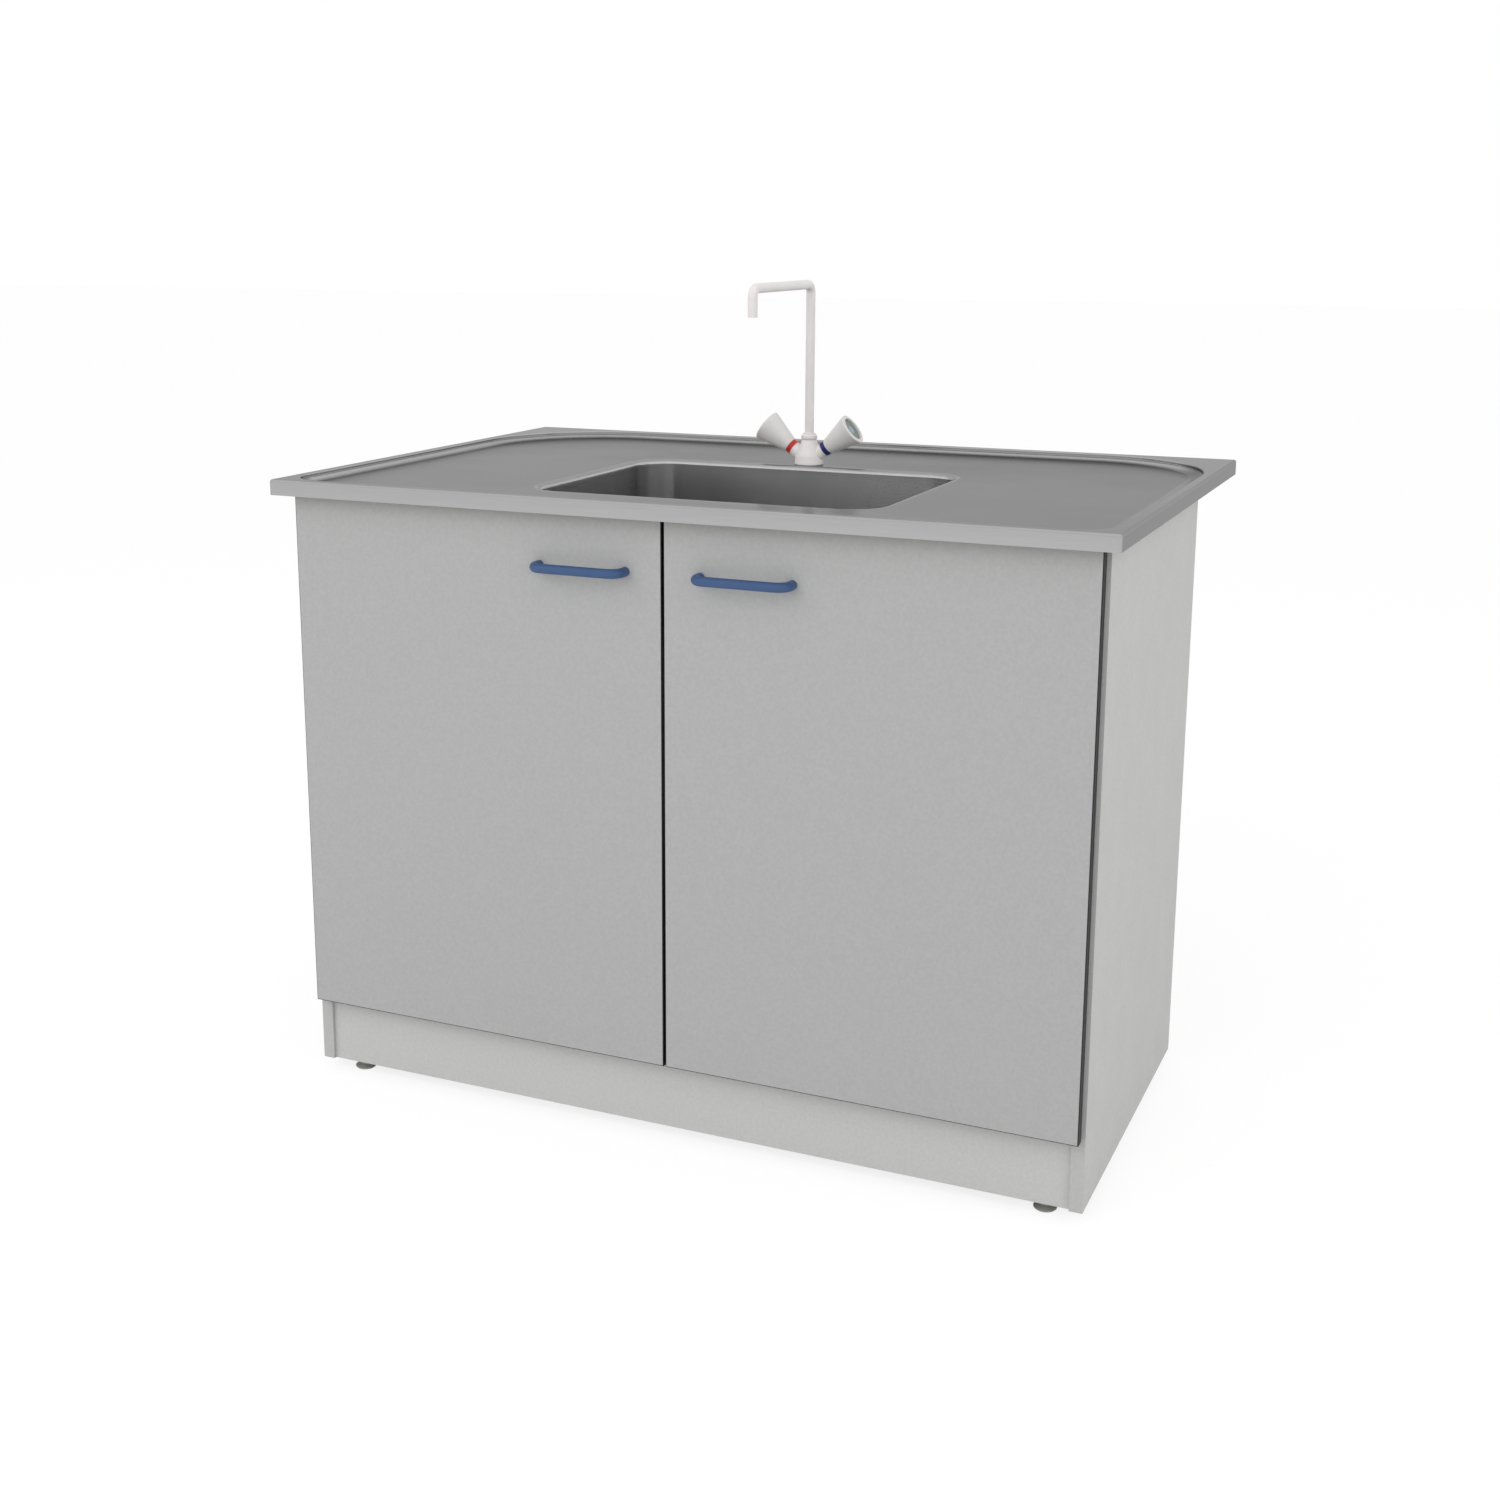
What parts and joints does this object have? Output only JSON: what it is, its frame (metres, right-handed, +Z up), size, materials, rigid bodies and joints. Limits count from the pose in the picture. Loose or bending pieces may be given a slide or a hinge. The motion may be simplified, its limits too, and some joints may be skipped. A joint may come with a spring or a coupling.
{
  "type": "laboratory sink unit",
  "caption": "Laboratory sink cabinet with a pressed steel worktop, a welded bowl, a mixer tap with a swivel spout, hinged doors with bow handles and levelling feet.",
  "frame": {"origin": "on the floor, under the middle of the unit's overall length and depth", "axes": "+Z up, -Y the front with the doors, +X to the right as one faces the doors"},
  "size_m": [1.2, 0.8065, 1.169],
  "materials": {
    "cabinet_laminate": "matt laminate on chipboard",
    "door_laminate": "fine-grained matt laminate on chipboard",
    "dark_edging": "matt",
    "stainless_steel": "satin",
    "core_board": "raw moisture-proof board",
    "zinc_plated_steel": "bright zinc",
    "blue_coating": "satin powder coat",
    "white_coating": "satin epoxy coat",
    "white_plastic": "semi gloss",
    "red_plastic": "semi gloss",
    "blue_plastic": "semi gloss",
    "cap_plastic": "semi gloss",
    "brass": "machined",
    "rubber": "matt"
  },
  "bodies": {
    "cabinet": {"bottom_panel": "cabinet_laminate", "cam_bolts": "zinc_plated_steel", "cam_housings": "zinc_plated_steel", "door_bumpers": "rubber", "foot_brackets": "zinc_plated_steel", "foot_nuts": "zinc_plated_steel", "front_rail": "cabinet_laminate", "hinge_arms": "zinc_plated_steel", "hinge_plates": "zinc_plated_steel", "index_ring_cold": "blue_plastic", "index_ring_hot": "red_plastic", "levelling_feet": "zinc_plated_steel", "panel_screws": "zinc_plated_steel", "plinth": "cabinet_laminate", "rear_brace": "cabinet_laminate", "rear_rail": "cabinet_laminate", "shank_nut": "brass", "shank_washer": "zinc_plated_steel", "side_panel_left": "cabinet_laminate", "side_panel_right": "cabinet_laminate", "sink_bowl": "stainless_steel", "spout_collar": "white_coating", "strainer_flange": "stainless_steel", "strainer_screw": "stainless_steel", "supply_tail_cold": "brass", "supply_tail_hot": "brass", "tap_body": "white_coating", "tap_gasket": "rubber", "tap_shank": "brass", "trap_cup": "white_plastic", "trap_dip_tube": "white_plastic", "trap_housing": "white_plastic", "trap_nuts": "white_plastic", "valve_bonnets": "brass", "waste_body": "white_plastic", "waste_pipe": "white_plastic", "waste_seals": "rubber", "worktop_core": "core_board", "worktop_screws": "zinc_plated_steel", "worktop_sheet": "stainless_steel"},
    "left_door": {"door_left": "door_laminate", "door_edging_left": "dark_edging", "bow_handle_left": "blue_coating", "bow_screws_left": "zinc_plated_steel", "hinge_cups_left": "zinc_plated_steel", "hinge_pins_left": "zinc_plated_steel"},
    "right_door": {"door_right": "door_laminate", "door_edging_right": "dark_edging", "bow_handle_right": "blue_coating", "bow_screws_right": "zinc_plated_steel", "hinge_cups_right": "zinc_plated_steel", "hinge_pins_right": "zinc_plated_steel"},
    "spout": {"spout_tube": "white_coating"},
    "hot_handle": {"tap_handle_hot": "white_plastic", "valve_spindle_hot": "brass", "index_cap_hot": "cap_plastic"},
    "cold_handle": {"tap_handle_cold": "white_plastic", "valve_spindle_cold": "brass", "index_cap_cold": "cap_plastic"}
  },
  "joints": [
    {"name": "left_door_hinge", "type": "hinge", "parent": "cabinet", "child": "left_door", "pos_m": [-0.567, -0.36475, 0.217], "axis": [0, 0, 1], "range_deg": [-105, 0]},
    {"name": "right_door_hinge", "type": "hinge", "parent": "cabinet", "child": "right_door", "pos_m": [0.567, -0.36475, 0.217], "axis": [0, 0, 1], "range_deg": [0, 105]},
    {"name": "spout_swivel", "type": "hinge", "parent": "cabinet", "child": "spout", "pos_m": [0, 0.15125, 0.92], "axis": [0, 0, 1], "continuous": true},
    {"name": "hot_valve", "type": "hinge", "parent": "cabinet", "child": "hot_handle", "pos_m": [0, 0.15125, 0.8968], "axis": [-0.809, 0, 0.5878], "range_deg": [0, 180]},
    {"name": "cold_valve", "type": "hinge", "parent": "cabinet", "child": "cold_handle", "pos_m": [0, 0.15125, 0.8968], "axis": [0.809, 0, 0.5878], "range_deg": [-180, 0]}
  ]
}
